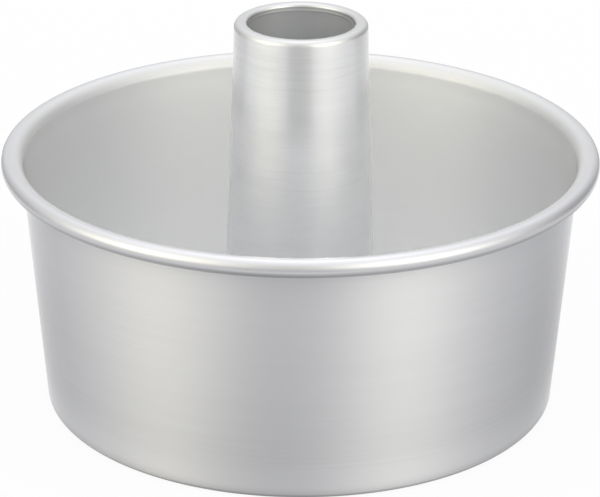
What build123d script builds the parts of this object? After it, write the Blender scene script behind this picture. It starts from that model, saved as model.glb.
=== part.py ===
from build123d import *
from math import asin, cos, degrees, radians, sin, tan
import os

# Angel food cake pan with a removable tube insert. All lengths in millimetres, +Z up.
# The origin is the centre of the circle that the pan stands on.
# Every piece is spun or pressed from one sheet, so each section is drawn as the line
# through the middle of the sheet, thickened by half a sheet on both sides and turned
# about Z.

# Sheet and overall sizes
sheet = 0.8
pan_height = 95.0
tube_height = 142.5
mouth_diameter = 200.0
wall_draft = 4.7

# Rolled rim: a wide shoulder on the inside, a tight outer edge, and a tuck back to the wall
rim_shoulder_radius = 4.4
rim_edge_radius = 2.85
rim_tuck_gap = 0.35

# Bottom ring of the wall, which carries the insert
base_corner_radius = 1.9
ledge_width = 7.0

# Base plate: flat disc with its edge curled up into the wall's bottom corner
plate_edge_radius = 0.9
plate_edge_turn = 60.0
plate_clearance = 0.4

# Centre tube: taper, crowned mouth that rolls in, and the folded seam that grips the plate
tube_mouth_outer_diameter = 47.9
tube_draft = 1.95
tube_shoulder_radius = 1.6
tube_crown_radius = 4.1
tube_crown_turn = 30.0
tube_lip_radius = 0.8
tube_lip_length = 1.2
seam_fold_width = 2.4
seam_fold_gap = 0.2
seam_flange_width = 3.6
seam_bend_radius = 0.6
seam_clearance = 0.05

# Lift of the insert, from its seat until the plate is clear of the rim
lift_clearance = 5.0
lift_travel = pan_height - sheet + lift_clearance

half_sheet = sheet / 2
draft = radians(wall_draft)
taper = radians(tube_draft)

# Levels of the sheet's middle, from the table up
ledge_z = half_sheet
plate_z = ledge_z + sheet
fold_low_z = plate_z + sheet
fold_radius = half_sheet + seam_fold_gap / 2
fold_high_z = fold_low_z + 2 * fold_radius

# Rolled rim: both arcs meet at the crown, above crown_r
rim_top_z = pan_height - half_sheet
wall_top_r = mouth_diameter / 2 + half_sheet
wall_top_z = rim_top_z - rim_shoulder_radius * (1 - sin(draft))
crown_r = wall_top_r + rim_shoulder_radius * cos(draft)
rim_edge_z = rim_top_z - rim_edge_radius
rim_bottom_z = rim_edge_z - rim_edge_radius
tuck_z = rim_bottom_z + rim_shoulder_radius

# Wall foot, and the ledge that turns in from it
foot_r = wall_top_r - (wall_top_z - ledge_z) * tan(draft)
ledge_tangent_r = foot_r - base_corner_radius * tan((radians(90) - draft) / 2)
ledge_r = foot_r - ledge_width

# The roll's end stands one gap off the outside of the wall
tuck_end_r = wall_top_r + sheet + rim_tuck_gap
tuck_turn = degrees(asin((crown_r - tuck_end_r) / rim_shoulder_radius))

# Plate edge, kept inside the flat part of the ledge
plate_flat_r = ledge_tangent_r - plate_clearance

# Tube mouth: a tight shoulder, a gently crowned top, and a lip that turns down inside.
# The crown's arc is centred on its own highest point, so both its ends lean by half its turn.
crown_lean = tube_crown_turn / 2
crown_side = sin(radians(crown_lean))
crown_rise = cos(radians(crown_lean))
tube_crown_z = tube_height - half_sheet - tube_crown_radius
shoulder_reach = tube_crown_radius - tube_shoulder_radius
lip_reach = tube_crown_radius - tube_lip_radius
tube_side_r = tube_mouth_outer_diameter / 2 - half_sheet
tube_shoulder_r = tube_side_r - tube_shoulder_radius * cos(taper)
tube_shoulder_z = tube_crown_z + shoulder_reach * crown_rise
tube_side_z = tube_shoulder_z + tube_shoulder_radius * sin(taper)
tube_crown_r = tube_shoulder_r - shoulder_reach * crown_side
lip_centre_r = tube_crown_r - lip_reach * crown_side
lip_top_z = tube_crown_z + lip_reach * crown_rise
lip_r = lip_centre_r - tube_lip_radius
lip_end_z = lip_top_z - tube_lip_length

# Tube foot, where the wall turns out into the fold
neck_r = tube_side_r + (tube_side_z - fold_high_z) * tan(taper)
fold_turn_r = neck_r + half_sheet + seam_fold_width - half_sheet - fold_radius
flange_r = neck_r + seam_flange_width
plate_hole_r = neck_r + half_sheet + seam_clearance

os.makedirs("parts", exist_ok=True)

# Pan wall: ledge, rounded foot, tapered wall and rolled rim in one sheet
with BuildPart() as pan_wall:
    with BuildSketch(Plane.XZ):
        with BuildLine():
            FilletPolyline(
                (ledge_r, ledge_z),
                (foot_r, ledge_z),
                (wall_top_r, wall_top_z),
                radius=base_corner_radius,
            )
            CenterArc(
                (crown_r, rim_top_z - rim_shoulder_radius),
                rim_shoulder_radius,
                180 - wall_draft,
                wall_draft - 90,
            )
            CenterArc((crown_r, rim_edge_z), rim_edge_radius, 90, -180)
            CenterArc((crown_r, tuck_z), rim_shoulder_radius, -90, -tuck_turn)
            offset(amount=half_sheet, mode=Mode.REPLACE)
        make_face()
    revolve(axis=Axis.Z)
pan_wall.part.label = "pan_wall"

# Base plate: disc with a hole for the tube's neck and a curled edge
with BuildPart() as base_plate:
    with BuildSketch(Plane.XZ):
        with BuildLine():
            Line((plate_hole_r + half_sheet, plate_z), (plate_flat_r, plate_z))
            CenterArc(
                (plate_flat_r, plate_z + plate_edge_radius),
                plate_edge_radius,
                -90,
                plate_edge_turn,
            )
            offset(amount=half_sheet, mode=Mode.REPLACE)
        make_face()
    revolve(axis=Axis.Z)
base_plate.part.label = "base_plate"

# Centre tube: flange under the plate, fold on top of it, tapered wall and crowned mouth
with BuildPart() as centre_tube:
    with BuildSketch(Plane.XZ):
        with BuildLine():
            FilletPolyline(
                (flange_r, ledge_z),
                (neck_r, ledge_z),
                (neck_r, fold_low_z),
                (fold_turn_r, fold_low_z),
                radius=seam_bend_radius,
            )
            CenterArc((fold_turn_r, fold_low_z + fold_radius), fold_radius, -90, 180)
            FilletPolyline(
                (fold_turn_r, fold_high_z),
                (neck_r, fold_high_z),
                (tube_side_r, tube_side_z),
                radius=seam_bend_radius,
            )
            CenterArc(
                (tube_shoulder_r, tube_shoulder_z),
                tube_shoulder_radius,
                tube_draft,
                90 - crown_lean - tube_draft,
            )
            CenterArc(
                (tube_crown_r, tube_crown_z),
                tube_crown_radius,
                90 - crown_lean,
                tube_crown_turn,
            )
            CenterArc(
                (lip_centre_r, lip_top_z),
                tube_lip_radius,
                90 + crown_lean,
                90 - crown_lean,
            )
            Line((lip_r, lip_top_z), (lip_r, lip_end_z))
            offset(amount=half_sheet, mode=Mode.REPLACE)
        make_face()
    revolve(axis=Axis.Z)
centre_tube.part.label = "centre_tube"

export_step(pan_wall.part, "parts/pan_wall.step")
export_step(base_plate.part, "parts/base_plate.step")
export_step(centre_tube.part, "parts/centre_tube.step")

print("rim outer diameter", round(2 * (crown_r + rim_edge_radius + half_sheet), 2))
print("base inner diameter", round(2 * (foot_r - half_sheet), 2))
print("tube mouth opening radius", round(lip_r - half_sheet, 3))
print("tube lip from", round(lip_end_z, 2), "to", round(lip_top_z, 2))
print("insert lift travel", round(lift_travel, 2))
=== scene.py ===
# %% [markdown]
# # An angel food cake pan in spun aluminium
#
# The pan is three pieces of thin sheet: a wall with a rolled rim, a loose base plate, and a tall
# centre tube that is folded fast to the plate. A lathe makes all of them on the real bench, so a
# lathe makes them here: each piece is one section, turned about the vertical axis.
#
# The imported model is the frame. It fixes every size and place, in metres, and the pieces below
# stand exactly where its solids stand, only with a finer skin and a real metal finish.

# %% Load the frame
import bpy
from math import asin, atan2, cos, degrees, hypot, log, pi, radians, sin, tan
from mathutils import Matrix, Vector


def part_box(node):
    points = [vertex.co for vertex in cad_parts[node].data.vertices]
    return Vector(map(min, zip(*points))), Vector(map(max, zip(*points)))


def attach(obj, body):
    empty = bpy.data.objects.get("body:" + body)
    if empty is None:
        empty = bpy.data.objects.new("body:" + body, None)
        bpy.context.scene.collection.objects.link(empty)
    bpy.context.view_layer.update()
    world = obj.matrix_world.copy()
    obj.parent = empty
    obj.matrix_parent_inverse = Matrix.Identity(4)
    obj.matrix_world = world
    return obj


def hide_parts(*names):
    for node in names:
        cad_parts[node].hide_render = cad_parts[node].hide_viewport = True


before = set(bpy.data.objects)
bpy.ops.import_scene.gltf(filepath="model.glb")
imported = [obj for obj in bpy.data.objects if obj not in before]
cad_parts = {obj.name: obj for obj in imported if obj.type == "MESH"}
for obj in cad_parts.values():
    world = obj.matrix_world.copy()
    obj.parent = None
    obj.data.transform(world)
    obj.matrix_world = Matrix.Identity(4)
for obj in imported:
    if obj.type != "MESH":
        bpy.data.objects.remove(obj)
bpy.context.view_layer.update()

from types import SimpleNamespace

print("nodes:", list(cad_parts))

# %% [markdown]
# ## Sizes
#
# The overall sizes come from the frame, so the scene follows the part. What the frame can't say
# is named here once: the sheet, the bends and the folds. Lengths are in metres, and the turns of
# the bends in degrees.

# %% Overall sizes from the frame
wall_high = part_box("pan_wall")[1]
tube_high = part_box("centre_tube")[1]

rim_outer_r = wall_high[0]
pan_height = wall_high[2]
flange_outer_r = tube_high[0]
tube_height = tube_high[2]

mm = 1000
print("rim outer diameter %.1f mm" % (2 * rim_outer_r * mm))
print("pan %.1f mm, tube %.1f mm high" % (pan_height * mm, tube_height * mm))

# %% The sheet, and the bends of the wall
sheet = 0.0008
half_sheet = sheet / 2

wall_draft = 4.7
rim_shoulder_radius = 0.0044
rim_edge_radius = 0.00285
rim_tuck_gap = 0.00035
base_corner_radius = 0.0019
ledge_width = 0.007

# %% The bends of the plate and the tube
plate_edge_radius = 0.0009
plate_edge_turn = 60
plate_clearance = 0.0004

tube_draft = 1.95
tube_mouth_r = 0.02395
tube_shoulder_radius = 0.0016
tube_crown_radius = 0.0041
tube_crown_turn = 30
tube_lip_radius = 0.0008
tube_lip_length = 0.0012
seam_fold_width = 0.0024
seam_fold_gap = 0.0002
seam_bend_radius = 0.0006

# %% [markdown]
# ## A section of sheet
#
# Sheet metal has one thickness everywhere. A section could be drawn as a closed outline, but then
# both skins have to be kept a sheet apart by hand. It is easier to draw the line through the middle
# of the sheet, and to let each point of that line carry the direction to its right. Half a sheet to
# the right and half a sheet to the left then give both skins, and a half circle closes each cut
# edge. Because the bends are true arcs, the highlights run round them without a kink.

# %% Lines and bends that know their side
def straight(start, end, steps=2):
    """Points on a line: radius, height, and the unit vector to the right of the way."""
    (r0, z0), (r1, z1) = start, end
    length = hypot(r1 - r0, z1 - z0)
    side = ((z1 - z0) / length, (r0 - r1) / length)
    points = []
    for k in range(steps + 1):
        points.append((r0 + (r1 - r0) * k / steps, z0 + (z1 - z0) * k / steps, *side))
    return points


def bend(centre, radius, start, turn, steps):
    """Points on an arc from the angle start, in degrees; a positive turn goes anticlockwise."""
    way = 1 if turn > 0 else -1
    points = []
    for k in range(steps + 1):
        angle = radians(start + turn * k / steps)
        r, z = centre[0] + radius * cos(angle), centre[1] + radius * sin(angle)
        points.append((r, z, way * cos(angle), way * sin(angle)))
    return points


# %% A path with rounded corners
def corner(before, at, after, radius, steps):
    """The arc that rounds the corner at the middle one of three points."""
    way_in = Vector((at[0] - before[0], at[1] - before[1])).normalized()
    way_out = Vector((after[0] - at[0], after[1] - at[1])).normalized()
    turn = atan2(way_in.x * way_out.y - way_in.y * way_out.x, way_in.dot(way_out))
    start = Vector(at) - way_in * radius * tan(abs(turn) / 2)
    left = Vector((-way_in.y, way_in.x)) * (1 if turn > 0 else -1)
    centre = start + left * radius
    first = degrees(atan2(start.y - centre.y, start.x - centre.x))
    return bend(tuple(centre), radius, first, degrees(turn), steps)


def rounded(points, radius, steps, rows=2):
    """Straight runs through the points, with every inner corner rounded."""
    path = []
    here = points[0]
    for before, at, after in zip(points, points[1:], points[2:]):
        arc = corner(before, at, after, radius, steps)
        path += straight(here, arc[0][:2], rows) + arc
        here = arc[-1][:2]
    return path + straight(here, points[-1], rows)


# %% Both skins of the sheet
# Where one run of a path ends, the next one starts. Points closer than this are the same point.
same_point = 1e-8
cap_steps = 8


def skins(path):
    """The closed outline of a sheet whose middle follows the path."""
    middle = [path[0]]
    for point in path[1:]:
        if hypot(point[0] - middle[-1][0], point[1] - middle[-1][1]) > same_point:
            middle.append(point)

    def cap(point, sign):
        first = atan2(sign * point[3], sign * point[2])
        angles = [first + pi * k / cap_steps for k in range(1, cap_steps)]
        return [(point[0] + half_sheet * cos(a), point[1] + half_sheet * sin(a)) for a in angles]

    right = [(r + a * half_sheet, z + b * half_sheet) for r, z, a, b in middle]
    left = [(r - a * half_sheet, z - b * half_sheet) for r, z, a, b in reversed(middle)]
    return right + cap(middle[-1], 1) + left + cap(middle[0], -1)


# %% [markdown]
# ## The lathe
#
# A Screw modifier or a spin tool could turn the outline about Z. A short loop does the same and
# leaves nothing to apply: it sets down the outline once for every degree, and joins each copy to
# the next with four-sided faces. They are close enough that the rim stays round from near by, and
# smooth shading does the rest.

# %% A new object in the scene
def make_object(name, verts, faces):
    """An object from its points and its faces."""
    mesh = bpy.data.meshes.new(name)
    mesh.from_pydata(verts, [], faces)
    thing = bpy.data.objects.new(name, mesh)
    bpy.context.scene.collection.objects.link(thing)
    return thing


# %% Turn an outline about Z
turns = 360


def lathe(name, outline, body, node):
    """A closed ring from an outline, in place of one node and on that node's body."""
    count = len(outline)
    verts = []
    faces = []
    for k in range(turns):
        c, s = cos(2 * pi * k / turns), sin(2 * pi * k / turns)
        verts += [(r * c, r * s, z) for r, z in outline]
        row, next_row = k * count, (k + 1) % turns * count
        for i in range(count):
            after = (i + 1) % count
            faces.append((row + i, next_row + i, next_row + after, row + after))
    piece = make_object(name, verts, faces)
    piece.data.shade_smooth()
    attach(piece, body)
    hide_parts(node)
    print(name, "has", len(faces), "faces from a section of", count, "points")
    return piece


# %% [markdown]
# ## The wall
#
# One sheet makes the ledge, the rounded foot, the tapered wall and the rolled rim. The roll has a
# wide bend on the cake side, which guides the spatula, and a tight bend at the outer edge. The
# sheet then tucks back under, and its cut edge stops just short of the wall. A solid ring would
# look the same from above, but the real roll is hollow, and from below its gap shows.

# %% Places on the wall, from the rim down to the foot
draft = radians(wall_draft)
rim_top_z = pan_height - half_sheet
crown_r = rim_outer_r - half_sheet - rim_edge_radius
wall_top_r = crown_r - rim_shoulder_radius * cos(draft)
wall_top_z = rim_top_z - rim_shoulder_radius * (1 - sin(draft))
rim_edge_z = rim_top_z - rim_edge_radius
ledge_z = half_sheet
foot_r = wall_top_r - (wall_top_z - ledge_z) * tan(draft)
ledge_r = foot_r - ledge_width
tuck_z = rim_edge_z - rim_edge_radius + rim_shoulder_radius
tuck_turn = degrees(asin((crown_r - wall_top_r - sheet - rim_tuck_gap) / rim_shoulder_radius))
print("foot %.1f mm, ledge %.1f mm from the axis" % (foot_r * mm, ledge_r * mm))

# %% Wall section, from the ledge up and over the rim
wall_path = rounded([(ledge_r, ledge_z), (foot_r, ledge_z), (wall_top_r, wall_top_z)],
                    base_corner_radius, steps=12, rows=12)
wall_path += bend((crown_r, rim_top_z - rim_shoulder_radius), rim_shoulder_radius,
                  start=180 - wall_draft, turn=wall_draft - 90, steps=20)
wall_path += bend((crown_r, rim_edge_z), rim_edge_radius, start=90, turn=-180, steps=32)
wall_path += bend((crown_r, tuck_z), rim_shoulder_radius, start=-90, turn=-tuck_turn, steps=8)

wall = lathe("spun_wall", skins(wall_path), "pan_ring", "pan_wall")

# %% [markdown]
# ## The base plate
#
# A flat disc that lies loose on the ledge. Its edge curls up into the foot of the wall, which
# stiffens it and keeps batter from running under it. The hole in its middle is as wide as the
# tube is there, so the tube's sizes are worked out first.

# %% Levels of the seam, and how wide the tube is down there
plate_z = ledge_z + sheet
fold_low_z = plate_z + sheet
fold_radius = half_sheet + seam_fold_gap / 2
fold_high_z = fold_low_z + 2 * fold_radius

taper = radians(tube_draft)
crown_lean = radians(tube_crown_turn / 2)
shoulder_reach = tube_crown_radius - tube_shoulder_radius
tube_crown_z = tube_height - half_sheet - tube_crown_radius
tube_shoulder_z = tube_crown_z + shoulder_reach * cos(crown_lean)
tube_side_r = tube_mouth_r - half_sheet
tube_side_z = tube_shoulder_z + tube_shoulder_radius * sin(taper)
neck_r = tube_side_r + (tube_side_z - fold_high_z) * tan(taper)
print("tube %.1f mm across at the seam" % (2 * (neck_r + half_sheet) * mm))

# %% Plate section, from the tube's hole to the curled edge
plate_inner_r = neck_r + sheet
plate_flat_r = foot_r - base_corner_radius * tan((pi / 2 - draft) / 2) - plate_clearance

plate_path = straight((plate_inner_r, plate_z), (plate_flat_r, plate_z), steps=24)
plate_path += bend((plate_flat_r, plate_z + plate_edge_radius), plate_edge_radius,
                   start=-90, turn=plate_edge_turn, steps=8)

plate = lathe("pressed_plate", skins(plate_path), "insert", "base_plate")

# %% [markdown]
# ## The centre tube
#
# The tube grips the plate like a rivet: its foot passes through the hole, flares out flat below
# the plate, and a narrow fold above the plate closes the seam. At the top a tight shoulder, a
# gently crowned ring and a lip turned down inside make a smooth mouth, so the pan can stand
# upside down on a bottle while the cake cools. The fold is drawn in full, because it is the thin
# bright ring that the light catches round the foot of the tube.

# %% Places on the tube's flange, mouth and lip
flange_r = flange_outer_r - half_sheet
fold_turn_r = neck_r + seam_fold_width - fold_radius
tube_shoulder_r = tube_side_r - tube_shoulder_radius * cos(taper)
tube_crown_r = tube_shoulder_r - shoulder_reach * sin(crown_lean)
lip_reach = tube_crown_radius - tube_lip_radius
lip_centre_r = tube_crown_r - lip_reach * sin(crown_lean)
lip_top_z = tube_crown_z + lip_reach * cos(crown_lean)
lip_r = lip_centre_r - tube_lip_radius
crown_start = 90 - tube_crown_turn / 2
print("tube mouth opening %.1f mm" % (2 * (lip_r - half_sheet) * mm))

# %% Tube section, from the flange up to the lip
foot_points = [(flange_r, ledge_z), (neck_r, ledge_z),
               (neck_r, fold_low_z), (fold_turn_r, fold_low_z)]
side_points = [(fold_turn_r, fold_high_z), (neck_r, fold_high_z), (tube_side_r, tube_side_z)]

tube_path = rounded(foot_points, seam_bend_radius, steps=6)
tube_path += bend((fold_turn_r, fold_low_z + fold_radius), fold_radius,
                  start=-90, turn=180, steps=10)
tube_path += rounded(side_points, seam_bend_radius, steps=6, rows=24)
tube_path += bend((tube_shoulder_r, tube_shoulder_z), tube_shoulder_radius,
                  start=tube_draft, turn=crown_start - tube_draft, steps=14)
tube_path += bend((tube_crown_r, tube_crown_z), tube_crown_radius,
                  start=crown_start, turn=tube_crown_turn, steps=8)
tube_path += bend((lip_centre_r, lip_top_z), tube_lip_radius,
                  start=180 - crown_start, turn=crown_start, steps=10)
tube_path += straight((lip_r, lip_top_z), (lip_r, lip_top_z - tube_lip_length))

tube = lathe("spun_tube", skins(tube_path), "insert", "centre_tube")

# %% [markdown]
# ## Shader maths in Python
#
# A material is a small program made of nodes. It could be wired up node by node, but then a sum of
# three things takes a dozen lines. The class below wraps one socket, so that a sum of two signals
# is written as a sum and adds its own Math node.

# %% A socket with arithmetic
class Signal:
    """An output socket in a node tree, or the bare tree to start from."""

    def __init__(self, tree, socket=None):
        self.tree = tree
        self.socket = socket

    def add(self, kind, settings=None, sockets=None, out=0):
        """Add a node: its settings first, then the values or links of its sockets."""
        node = self.tree.nodes.new(kind)
        for name, value in (settings or {}).items():
            setattr(node, name, value)
        for key, value in (sockets or {}).items():
            if isinstance(value, Signal):
                self.tree.links.new(value.socket, node.inputs[key])
            else:
                node.inputs[key].default_value = value
        return Signal(self.tree, node.outputs[out] if len(node.outputs) else None)

    def outs(self, *names):
        """Signals from named outputs of the node that this signal comes from."""
        return [Signal(self.tree, self.socket.node.outputs[name]) for name in names]

    def math(self, operation, *values):
        return self.add("ShaderNodeMath", {"operation": operation}, dict(enumerate(values)))

    def vector_math(self, operation, *values, out="Vector"):
        """Maths on vectors; out names the socket that the answer comes from."""
        settings = {"operation": operation}
        return self.add("ShaderNodeVectorMath", settings, dict(enumerate(values)), out)

    def __add__(self, other):
        return self.math("ADD", self, other)

    def __sub__(self, other):
        return self.math("SUBTRACT", self, other)

    def __rsub__(self, other):
        return self.math("SUBTRACT", other, self)

    def __mul__(self, other):
        return self.math("MULTIPLY", self, other)

    def __truediv__(self, other):
        return self.math("DIVIDE", self, other)

    def __pow__(self, other):
        return self.math("POWER", self, other)

    __radd__ = __add__
    __rmul__ = __mul__


# %% Steps, humps and tints
def fade(signal, low, high):
    """0 below low, 1 above high, and a soft step between."""
    sockets = {"Value": signal, "From Min": low, "From Max": high}
    return signal.add("ShaderNodeMapRange", {"interpolation_type": "SMOOTHSTEP"}, sockets)


def hump(off, width):
    """1 where off is 0, about a third one width away, and almost 0 two widths away."""
    return off.math("EXPONENT", off * off * (-1 / width ** 2))


def tinted(grey, tint):
    """A colour from a grey and the shares of red, green and blue in it."""
    parts = {i: grey * part for i, part in enumerate(tint)}
    return grey.add("ShaderNodeCombineColor", sockets=parts)


# %% A new material
def blank_material(name):
    """A material without nodes, and the bare tree to build it in."""
    material = bpy.data.materials.new(name)
    material.use_nodes = True
    material.node_tree.nodes.clear()
    return material, Signal(material.node_tree)


# %% [markdown]
# ## Spun aluminium
#
# The metal is aluminium under a clear anodised skin. The skin is a coat on the shader: seen square
# on it hardly shows, but along the edge of the wall it mirrors the white room and draws the thin
# bright lines there.
#
# Two finishes meet on the metal. Where the spinning tool ran last, on the outside, the rim and the
# tube, very fine rings stay in the skin. They throw a lamp's light up and down the wall, which
# makes the tall soft bands of light: that is what the anisotropy is for. Inside, the metal is
# etched matt and the light spreads evenly.
#
# Pictures of brushed metal could be wrapped round the pieces, but they would need unwrapping and
# would repeat. Here the rings are noise that changes fast along the section and slowly round the
# axis, so they fit every piece at any size.

# %% Where a point lies on the pan
# How far the skin faces down, as a share of straight down, where painted shade starts and is full
under_shade_from = 0.1
under_shade_to = 0.55


def place(look):
    """Where a point of the skin is, and which way the skin faces there."""
    coords, normal = look.add("ShaderNodeTexCoord").outs("Object", "Normal")
    x, y, z = look.add("ShaderNodeSeparateXYZ", sockets={0: coords}).outs("X", "Y", "Z")
    nx, ny, nz = look.add("ShaderNodeSeparateXYZ", sockets={0: normal}).outs("X", "Y", "Z")
    r = (x * x + y * y) ** 0.5
    outward = (nx * x + ny * y) / r
    # Painted shade where the skin faces down: under the rim's bead and round the foot
    under = fade(0 - nz, under_shade_from, under_shade_to)
    return SimpleNamespace(coords=coords, z=z, r=r, along=z + r, cx=x / r, cy=y / r,
                           outward=outward, under=under)


# %% Noise, and noise in rings
noise_middle = 0.5
noise_roughness = 0.6
ring_detail = 2


def noise(look, vector, scale, detail):
    """Noise between 0 and 1, with the roughness that all the textures share."""
    sockets = {"Vector": vector, "Scale": scale, "Detail": detail, "Roughness": noise_roughness}
    return look.add("ShaderNodeTexNoise", sockets=sockets)


def rings(look, here, per_metre, round_share):
    """Noise in rings: per_metre sets how close they lie, round_share how soon they fade."""
    ways = {0: here.cx * round_share, 1: here.cy * round_share, 2: here.along * per_metre}
    return noise(look, look.add("ShaderNodeCombineXYZ", sockets=ways), 1, ring_detail)


def varied(level, *textures):
    """A level that textures push up and down, each by its share."""
    for texture, share in textures:
        level = level + (texture - noise_middle) * share
    return level


# %% What the spinning tool leaves behind
# Both kinds of rings have how many of them lie in a metre, and how much they change on the way
# round. The clouds are wide and faint, and the same sheet has them everywhere.
fine_rings = (1400, 2)
broad_rings = (160, 1.2)
cloud_scale = 14
cloud_detail = 3
cloud_share = 0.03

# From the middle of a tool mark to where a third of it is left
groove_width = 0.0004


def spun_grain(look, here):
    """Fine rings, broad rings and clouds."""
    fine = rings(look, here, *fine_rings)
    broad = rings(look, here, *broad_rings)
    return fine, broad, noise(look, here.coords, cloud_scale, cloud_detail)


def grooves(here, heights):
    """1 in each fine groove that the tool has left at these heights."""
    return sum(hump(here.z - height, groove_width) for height in heights)


# %% The metal itself
# Tints of the metal: red, green and blue as shares of its grey
plain = (0.997, 1.004, 1.023)
cool = (0.992, 0.998, 1.040)

clear_skin = {"Coat Weight": 1, "Coat Roughness": 0.12, "Coat IOR": 1.2}

# A quarter turn makes the rings stretch the light up and down.
grain_rotation = 0.25

# Painted shade: where the skin faces down, as under the rim's bead and round the foot, the metal
# loses this share of its brightness.
painted_under_shade = 0.38

relief_height = 0.00002


def bumps(look, strength, height):
    """A relief of two hundredths of a millimetre."""
    sockets = {"Strength": strength, "Distance": relief_height, "Height": height}
    return look.add("ShaderNodeBump", sockets=sockets)


def metal(look, here, grey, roughness, relief, anisotropy, tint):
    """Aluminium under a clear skin, with painted shade where it faces down."""
    colour = tinted(grey * (1 - here.under * painted_under_shade), tint)
    return look.add("ShaderNodeBsdfPrincipled", sockets={
        "Base Color": colour, "Metallic": 1, "Roughness": roughness, "Normal": relief,
        "Anisotropic": anisotropy, "Anisotropic Rotation": grain_rotation, **clear_skin})


# %% [markdown]
# ### The outside of the wall
#
# Nothing on the pan is one even grey. The wall is painted paler towards the rim: painted light
# against the shade of the rim's overhang. Above its foot lies a band of painted light from the
# paper, and painted shadow where it stands, and the tool has left a few deeper marks above the
# foot. An image mask could hold all this, but each of them follows the height, so soft steps and
# humps of the height are enough.

# %% Finish of the wall's outside
wall_grey = 0.545
# Painted light: the grey rises with the height, against the shade of the rim's overhang.
painted_light_per_metre = 1.35
wall_marks = (0.0122, 0.0144, 0.0165, 0.0187, 0.0226)

# Heights between which the painted light above the foot and the painted shadow at the foot
# fade out
foot_light_z = (0.004, 0.020)
foot_shadow_z = (0.001, 0.005)


def brushed_finish(look, here):
    """The wall's outside: painted light to the rim and above the foot, painted shadow at the foot.
    """
    fine, broad, cloud = spun_grain(look, here)
    # Painted light above the foot, and painted shadow where the foot stands.
    foot_light = (1 - fade(here.z, *foot_light_z)) * 0.05
    foot_shadow = (1 - fade(here.z, *foot_shadow_z)) * 0.11
    marks = grooves(here, wall_marks) * 0.012
    grey = wall_grey + here.z * painted_light_per_metre + foot_light - foot_shadow - marks
    grey = varied(grey, (fine, 0.05), (broad, 0.03), (cloud, cloud_share))
    rough = varied(0.48, (fine, 0.06), (cloud, 0.05))
    relief = bumps(look, 0.12, fine + broad)
    return metal(look, here, grey, rough, relief, anisotropy=0.9, tint=cool)


print("wall: tool marks at", [round(z * mm, 1) for z in wall_marks], "mm")

# %% [markdown]
# ### The rim, the tube and its mouth
#
# A roller closes the rim and the mouth, and presses the rings nearly flat. The tube is spun on a
# slim former: smoother than the wall, with marks near its top. Its grey, well above the wall's, is
# painted light low down, where the pan shades it, and falls towards the mouth as painted shade.
# Each of the three could be built from its own nodes, but they differ only in a few numbers, so one
# function makes them all.

# %% Finishes of the rim, the tube and its mouth
tube_marks = (0.0876, 0.0944, 0.1247, 0.1286, 0.1317, 0.1350, 0.1360)
# Painted shade on the tube: its grey falls from this height up to its shoulder.
tube_shade_from_z = 0.1


def smooth_metal(look, here, level, roughness=0.38, lines=0.04, anisotropy=0.25, tint=cool):
    """Metal under a roller: lines is the share of the rings that is left."""
    fine, broad, cloud = spun_grain(look, here)
    grey = varied(level, (fine, lines), (broad, lines), (cloud, cloud_share))
    rough = varied(roughness, (fine, 0.05), (cloud, 0.05))
    relief = bumps(look, 0.1, fine + broad)
    return metal(look, here, grey, rough, relief, anisotropy, tint)


def rolled_finish(look, here):
    """The rolled rim, and the curled edge of the plate."""
    return smooth_metal(look, here, level=0.585)


def tube_finish(look, here):
    """The tube: smoother than the rim, with its rings; painted light low down, painted shade up
    top.
    """
    # Painted light low down on the tube, and painted shade up to the shoulder.
    painted_top_shade = fade(here.z, tube_shade_from_z, tube_shoulder_z) * 0.18
    marks = grooves(here, tube_marks) * 0.025
    return smooth_metal(look, here, level=0.95 - painted_top_shade - marks, roughness=0.33, lines=0.08,
                        anisotropy=0.6, tint=plain)


def mouth_finish(look, here):
    """The tube's mouth: rolled like the rim, with the tube's own tint."""
    return smooth_metal(look, here, level=0.575, tint=plain)


print("tube: tool marks at", [round(z * mm, 1) for z in tube_marks], "mm")

# %% [markdown]
# ### The inside and the plate
#
# The inside is etched matt, which helps the batter to climb it. Even grey with a high roughness
# comes near, but it looks like plastic. The etched grain has no direction, so plain noise takes the
# place of the fine rings, and only faint broad rings stay. Painted shade darkens the grey up the
# wall, and more in the throat below the rim; the rim's shoulder is darker and rougher. The bore's
# grey is raised as painted light in the deep hole, and the plate's is lowered as painted shade,
# because it faces the bright sky.

# %% Finishes of the inside, the bore and the plate
etched_grain = 1500
etched_detail = 2
etched_rings = (220, 1.5)
etched_clouds = 10

# Each place has its own grey: the bore's is raised as painted light in the deep hole, and the
# plate's is lowered as painted shade against the bright sky that it faces.
inside_grey = 0.96
bore_grey = 0.87
plate_grey = 0.65

throat_depth = 0.006
shoulder_depth = 2.5 * sheet


def etched_metal(look, here, level):
    """Etched metal, with painted shade up the wall and in the throat, and a darker, rougher
    shoulder.
    """
    on_wall = fade(here.r, foot_r - sheet, foot_r)
    upper = fade(here.z, 0, wall_top_z) * on_wall
    throat = fade(here.z, wall_top_z - throat_depth, wall_top_z) * on_wall
    shoulder = fade(here.z, wall_top_z, wall_top_z + shoulder_depth) * on_wall
    grain = noise(look, here.coords, etched_grain, etched_detail)
    broad = rings(look, here, *etched_rings)
    cloud = noise(look, here.coords, etched_clouds, cloud_detail)
    # Painted shade: darker up the wall, and more in the throat just below the rim
    grey = level - upper * 0.17 - throat * 0.05 - shoulder * 0.11
    grey = varied(grey, (grain, 0.03), (broad, 0.015), (cloud, cloud_share))
    rough = varied(0.50 + shoulder * 0.10, (cloud, 0.06))
    relief = bumps(look, 0.15, grain)
    return metal(look, here, grey, rough, relief, anisotropy=0.1, tint=plain)


def inside_finish(look, here):
    """The inside of the wall."""
    return etched_metal(look, here, inside_grey)


def bore_finish(look, here):
    """Down the tube, with its grey raised as painted light in the deep hole."""
    return etched_metal(look, here, bore_grey)


def floor_finish(look, here):
    """The plate: flat, open to the sky, its grey lowered as painted shade against the sky's light.
    """
    return etched_metal(look, here, plate_grey)


print("inside grey", inside_grey, "bore", bore_grey, "plate", plate_grey)

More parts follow.
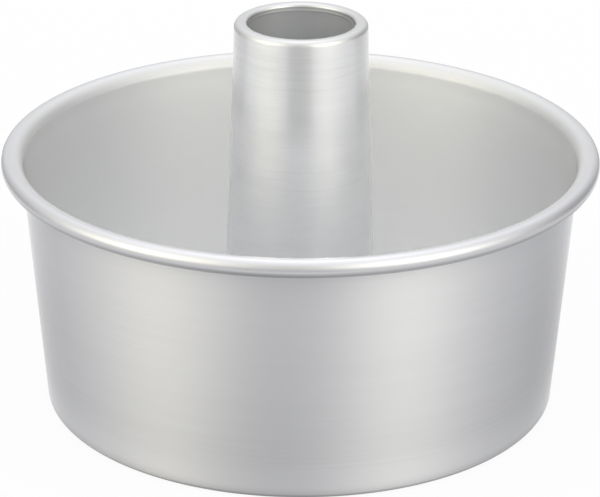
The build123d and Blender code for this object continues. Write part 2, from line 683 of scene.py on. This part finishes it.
# %% [markdown]
# ### One finish over another
#
# A piece of sheet has two sides, and each side its own finish. Separate materials on separate faces
# would meet in a hard line. Here one material holds all the finishes of a piece, and masks say
# where each of them lies, so that they melt into one another as the real ones do.

# %% Where each finish lies
# A skin that neither looks out from the axis nor in has both finishes by half.
facing_out = 0.1


def outside(here):
    """The skin that looks away from the axis."""
    return fade(here.outward, -facing_out, facing_out)


def rolled_rim(here):
    return fade(here.r, wall_top_r + 2 * sheet, crown_r)


def rolled_mouth(here):
    return fade(here.z, tube_shoulder_z, tube_shoulder_z + sheet)


def curled_edge(here):
    """The last of the plate, where the finish of a rolled edge half covers its own."""
    return fade(here.r, plate_flat_r, plate_flat_r + sheet) * 0.5


# %% Lay the finishes over one another
def finish(name, base, *layers):
    """A material from one finish, with each further finish laid where its mask is 1."""
    material, look = blank_material(name)
    here = place(look)
    shader = base(look, here)
    for make, mask in layers:
        mixed = {0: mask(here), 1: shader, 2: make(look, here)}
        shader = look.add("ShaderNodeMixShader", sockets=mixed)
    look.add("ShaderNodeOutputMaterial", sockets={"Surface": shader})
    print("material", name, "has", len(look.tree.nodes), "nodes")
    return material


wall.data.materials.append(finish("wall_aluminium", inside_finish,
                                  (brushed_finish, outside), (rolled_finish, rolled_rim)))
tube.data.materials.append(finish("tube_aluminium", bore_finish,
                                  (tube_finish, outside), (mouth_finish, rolled_mouth)))
plate.data.materials.append(finish("plate_aluminium", floor_finish, (rolled_finish, curled_edge)))

# %% [markdown]
# ## The studio
#
# A photographer would light the pan with two large diffusers, left and right of the camera, one
# above and one behind. Lamps could stand for them, but metal mirrors the hard edges of a lamp. Here
# the light is painted on the sky instead, in soft round patches, and the metal shows it as soft
# bands.
#
# A pan in an all white room would be white. What gives it shape is what a photographer calls
# flagging: dark things just out of the picture, for the metal to mirror. The shades on the paper
# and on the sky are that, and so are the two cards at the end. Only the metal sees them.

# %% Kinds of rays
def ray_kinds(look):
    """1 for a camera ray, for a glossy ray, and for all rays that show the white: glass's too."""
    kinds = ("Is Camera Ray", "Is Glossy Ray", "Is Transmission Ray")
    camera, glossy, glass = look.add("ShaderNodeLightPath").outs(*kinds)
    shown = look.math("MINIMUM", camera + glossy + glass, 1)
    return SimpleNamespace(camera=camera, glossy=glossy, shown=shown)


# %% [markdown]
# ### White paper on a grey table
#
# The pan stands on white paper that fades out into a grey table. Two sheets could lie there, but
# one is enough, with a colour that changes. It lies a tenth of a millimetre below the pan, so that
# no two faces share a plane.
#
# The paper's white comes from its colour and from a share of its own glow, never from more light
# on the pan. The rays that the camera, the metal and glass send out all see that glow, and the rest
# of the paper's light is real, so that the shadow under the pan stays.

# %% The table
table_reach = 6.0
table_z = -0.0001

corners = [(-table_reach, -table_reach, table_z), (table_reach, -table_reach, table_z),
           (table_reach, table_reach, table_z), (-table_reach, table_reach, table_z)]
table = make_object("table", corners, [(0, 1, 2, 3)])
print("table %.0f m wide" % (2 * table_reach))

# %% Paper that fades into the table
# The paper is an oval, wider from left to right, and fades out over paper_fade.
paper_r = 0.5
paper_fade = 0.25
paper_narrow = 0.65
paper_glow = 0.93
paper_tint = (0.98, 0.99, 1.05)

table_grey = 0.58
paper_grey = 0.86
matt_roughness = 0.9

# Each shade: x, y, its width, and how much of the glow it takes away in its middle
paper_shades = {"front": (-0.035, -0.125, 0.045, 0.25),
                "right": (0.15, 0.03, 0.09, 0.35),
                "left": (-0.15, 0.03, 0.09, 0.25)}

white, look = blank_material("paper_on_table")
rays = ray_kinds(look)
spot = look.add("ShaderNodeTexCoord", out="Object")
oval = look.vector_math("MULTIPLY", spot, (paper_narrow, 1, 1))
away = look.vector_math("LENGTH", oval, out="Value")
paper = 1 - fade(away, paper_r, paper_r + paper_fade)

dim = 0
for name, (x, y, spread, strength) in paper_shades.items():
    off = look.vector_math("DISTANCE", spot, (x, y, 0), out="Value")
    dim = hump(off, spread) * strength + dim
    print("shade on the paper,", name, "takes", strength)

colour = tinted(table_grey + paper * (paper_grey - table_grey), paper_tint)
board = look.add("ShaderNodeBsdfPrincipled",
                 sockets={"Base Color": colour, "Roughness": matt_roughness})
glow = look.add("ShaderNodeEmission", sockets={"Color": 1 - rays.glossy * dim, "Strength": 1})
lit_board = {0: rays.shown * paper * paper_glow, 1: board, 2: glow}
sheet_of_paper = look.add("ShaderNodeMixShader", sockets=lit_board)
look.add("ShaderNodeOutputMaterial", sockets={"Surface": sheet_of_paper})
table.data.materials.append(white)

# %% [markdown]
# ### Light and shade on the sky
#
# The world could be one even grey, or a picture of a studio. Soft patches on an even sky say the
# same in a few numbers each: where they are, how wide, and how much light they add or take away.
# The camera never sees them, because to it the room is white.

# %% Diffusers and shades
# The room is white for the rays that show it, and half as bright for the light that it sheds.
fill = 0.5

# Each patch: azimuth, elevation and spread in degrees, and how much it adds or takes away. The
# diffusers also have a tint each, because the cloth of the two at the sides is a little warm.
diffusers = [("left", -60, 20, 22, 1.80, (1.06, 1.005, 0.74)),
             ("right", 45, 22, 20, 2.32, (1.04, 1.005, 0.84)),
             ("above", 0, 90, 40, 0.34, (1, 1, 1)),
             ("behind", 180, 66, 22, 0.8, (1, 1, 1))]
shades = [("camera", 0, 30, 15, 0.55), ("rear", 180, 6, 16, 0.15),
          ("left", -125, 0, 20, 0.35), ("right", 120, 0, 24, 0.6)]


def toward(azimuth, elevation):
    """A direction in the studio: azimuth 0 is towards the camera, positive to its right."""
    a, e = radians(azimuth), radians(elevation)
    return sin(a) * cos(e), -cos(a) * cos(e), sin(e)


def patch(sky, way, name, azimuth, elevation, spread, strength):
    """A soft round patch, at half its strength one spread from its middle."""
    aligned = sky.vector_math("DOT_PRODUCT", way, toward(azimuth, elevation), out="Value")
    sharp = log(2) / (1 - cos(radians(spread)))
    print("patch", name, "at", azimuth, elevation)
    return sky.math("EXPONENT", (aligned - 1) * sharp) * strength


# %% The sky
world = bpy.data.worlds.new("studio")
bpy.context.scene.world = world
world.use_nodes = True
world.node_tree.nodes.clear()
sky = Signal(world.node_tree)
way = sky.add("ShaderNodeTexCoord", out="Generated")
rays = ray_kinds(sky)

lamps = [(patch(sky, way, *where), tint) for *where, tint in diffusers]
shade = sum(patch(sky, way, *where) for where in shades)
room = rays.shown * (1 - fill) + fill

# Red, green and blue of the sky, one after the other
lit = {}
for i in range(3):
    light = sum(lamp * tint[i] for lamp, tint in lamps)
    level = room + (1 - rays.camera) * light - rays.glossy * shade
    lit[i] = sky.math("MAXIMUM", level, 0)

colour = sky.add("ShaderNodeCombineColor", sockets=lit)
pale = sky.add("ShaderNodeBackground", sockets={"Color": colour})
sky.add("ShaderNodeOutputWorld", sockets={"Surface": pale})

# %% [markdown]
# ### Cards on the edge of the paper
#
# The outside of the wall leans down a little, so it mirrors the table more than the sky, and a
# shade on the sky hardly shows in it. One dark card lies in front, out of the picture, and darkens
# the front of the wall. A low grey one stands behind in half a circle, for the far side.

# %% Cards that only the metal sees
card_step = 4


def card(name, first, last, near, far, high, grey):
    """A curved card from one azimuth to another, lying or standing. Only the metal sees it."""
    steps = (last - first) // card_step
    verts = []
    for k in range(steps + 1):
        x, y, _ = toward(first + (last - first) * k / steps, 0)
        verts += [(x * near, y * near, sheet), (x * far, y * far, high)]
    faces = [(2 * k, 2 * k + 2, 2 * k + 3, 2 * k + 1) for k in range(steps)]
    thing = make_object(name, verts, faces)
    felt, look = blank_material(name + "_felt")
    cloth = look.add("ShaderNodeBsdfPrincipled",
                     sockets={"Base Color": (grey, grey, grey, 1), "Roughness": matt_roughness})
    look.add("ShaderNodeOutputMaterial", sockets={"Surface": cloth})
    thing.data.materials.append(felt)
    thing.visible_camera = False
    thing.visible_diffuse = False
    thing.visible_shadow = False
    print(name, "spans", last - first, "degrees")


card("front_card", first=-22, last=18, near=0.52, far=1.60, high=sheet, grey=0.02)
card("back_card", first=100, last=260, near=0.52, far=0.52, high=0.05, grey=0.30)

# %% [markdown]
# ## The camera
#
# The photograph looks down at the pan from a metre away through a long lens. The numbers below
# came from fitting the rim, the wall, the base and the tube to it.

# %% Camera
# Places in metres, and tilt and roll in radians
camera_back = 1.0043
camera_up = 0.4782
camera_tilt = 0.3991
camera_roll = 0.0051
focal_px = 2970.6
image_width_px = 600
film_width_mm = 36

lens = bpy.data.cameras.new("camera")
lens.sensor_width = film_width_mm
lens.lens = film_width_mm * focal_px / image_width_px
camera = bpy.data.objects.new("camera", lens)
bpy.context.scene.collection.objects.link(camera)
camera.matrix_world = (Matrix.Translation((0, -camera_back, camera_up))
                       @ Matrix.Rotation(pi / 2 - camera_tilt, 4, "X")
                       @ Matrix.Rotation(camera_roll, 4, "Z"))
bpy.context.scene.camera = camera
print("lens %.0f mm" % lens.lens)

# %% How the colours are shown
bpy.context.scene.view_settings.view_transform = "Standard"
